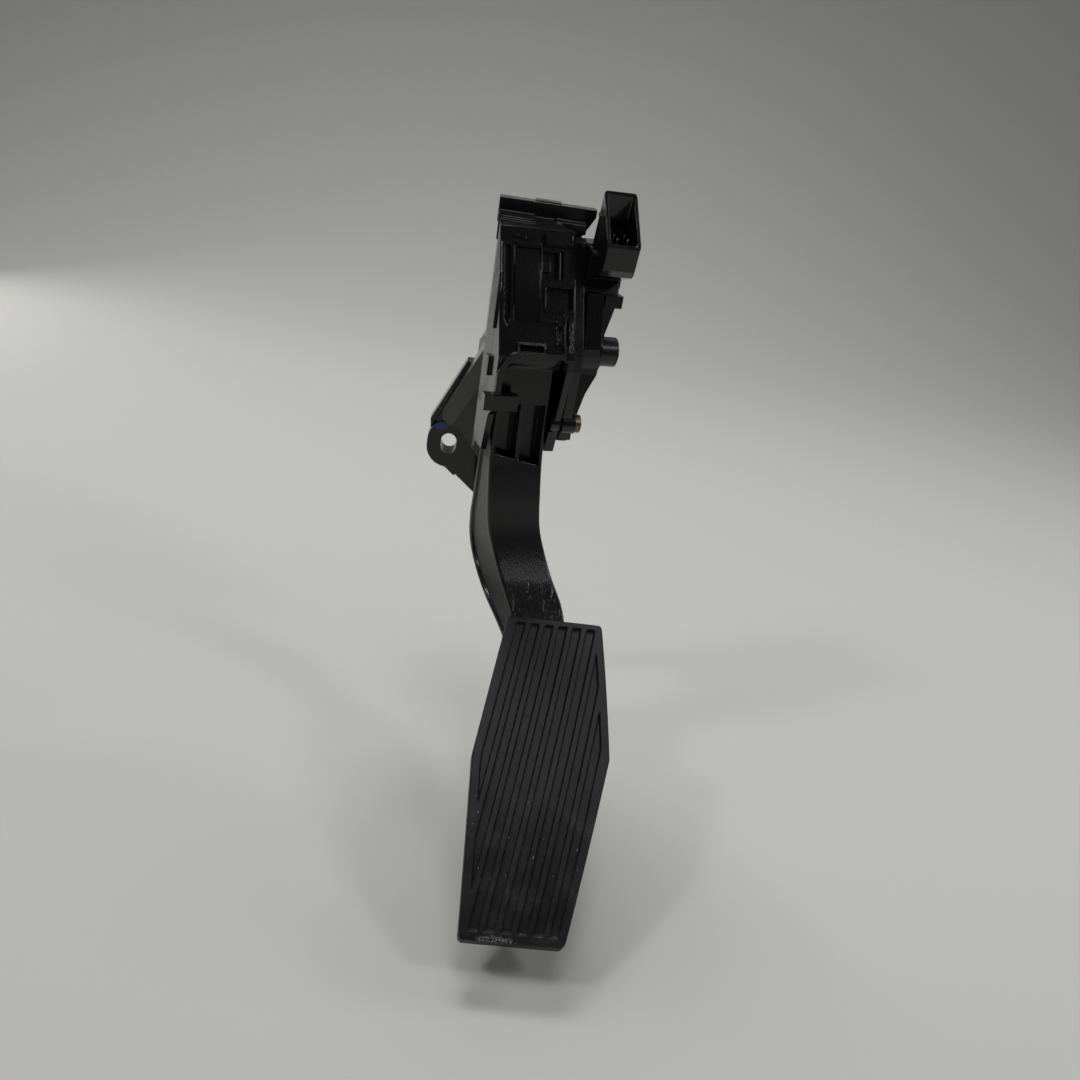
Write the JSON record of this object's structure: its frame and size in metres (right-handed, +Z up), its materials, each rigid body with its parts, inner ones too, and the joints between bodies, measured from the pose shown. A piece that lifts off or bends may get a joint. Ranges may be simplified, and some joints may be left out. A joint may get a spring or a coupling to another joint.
{
  "type": "accelerator pedal",
  "caption": "Car accelerator pedal module: black moulded housing with position sensor, sprung arm and ribbed pad.",
  "frame": {"origin": "on the mounting face, in line with the foot's centre and at the height of the pivot axis", "axes": "+X to the driver's right, +Y square to the mounting face towards the bulkhead, +Z up as mounted"},
  "size_m": [0.0872, 0.1878, 0.2488],
  "materials": {
    "housing_plastic": "moulded glass-filled black, glossy",
    "cover_plastic": "moulded black, semi-gloss",
    "arm_plastic": "moulded black, glossy with a grained front",
    "pad_rubber": "matt black, worn and dusty",
    "seal_rubber": "matt black",
    "screw_steel": "yellow-passivated steel",
    "shaft_plastic": "turned black, satin",
    "spring_steel": "drawn wire",
    "bush_plastic": "filled low-friction plastic",
    "inner_plastic": "black",
    "board": "green solder mask",
    "chip": "moulded black",
    "tin": "tinned",
    "copper": "stamped copper"
  },
  "bodies": {
    "housing_body": {"housing": "housing_plastic", "spring_cover": "housing_plastic", "sensor_cover": "cover_plastic", "cover_gasket": "seal_rubber", "idle_stop": "seal_rubber", "full_stop": "seal_rubber", "cover_screws": "screw_steel", "outer_spring": "spring_steel", "inner_spring": "spring_steel", "bush_left": "bush_plastic", "bush_right": "bush_plastic", "spring_cap": "inner_plastic", "circuit_board": "board", "sensor_chips": "chip", "board_parts": "tin", "terminal_pins": "tin"},
    "pedal_body": {"pedal_arm": "arm_plastic", "pad_cover": "pad_rubber", "pivot_shaft": "shaft_plastic", "shaft_clip": "spring_steel", "rotor_disc": "inner_plastic", "rotor_loops": "copper", "spring_seat": "inner_plastic", "friction_shoe": "bush_plastic"}
  },
  "joints": [
    {"name": "pedal_hinge", "type": "hinge", "parent": "housing_body", "child": "pedal_body", "pos_m": [-0.0033, -0.0455, 0], "axis": [0.9659, 0.2588, 0], "range_deg": [0, 16], "stiffness_Nm_per_rad": 9, "springref_deg": -20.05, "deforming": ["outer_spring", "inner_spring"]}
  ]
}
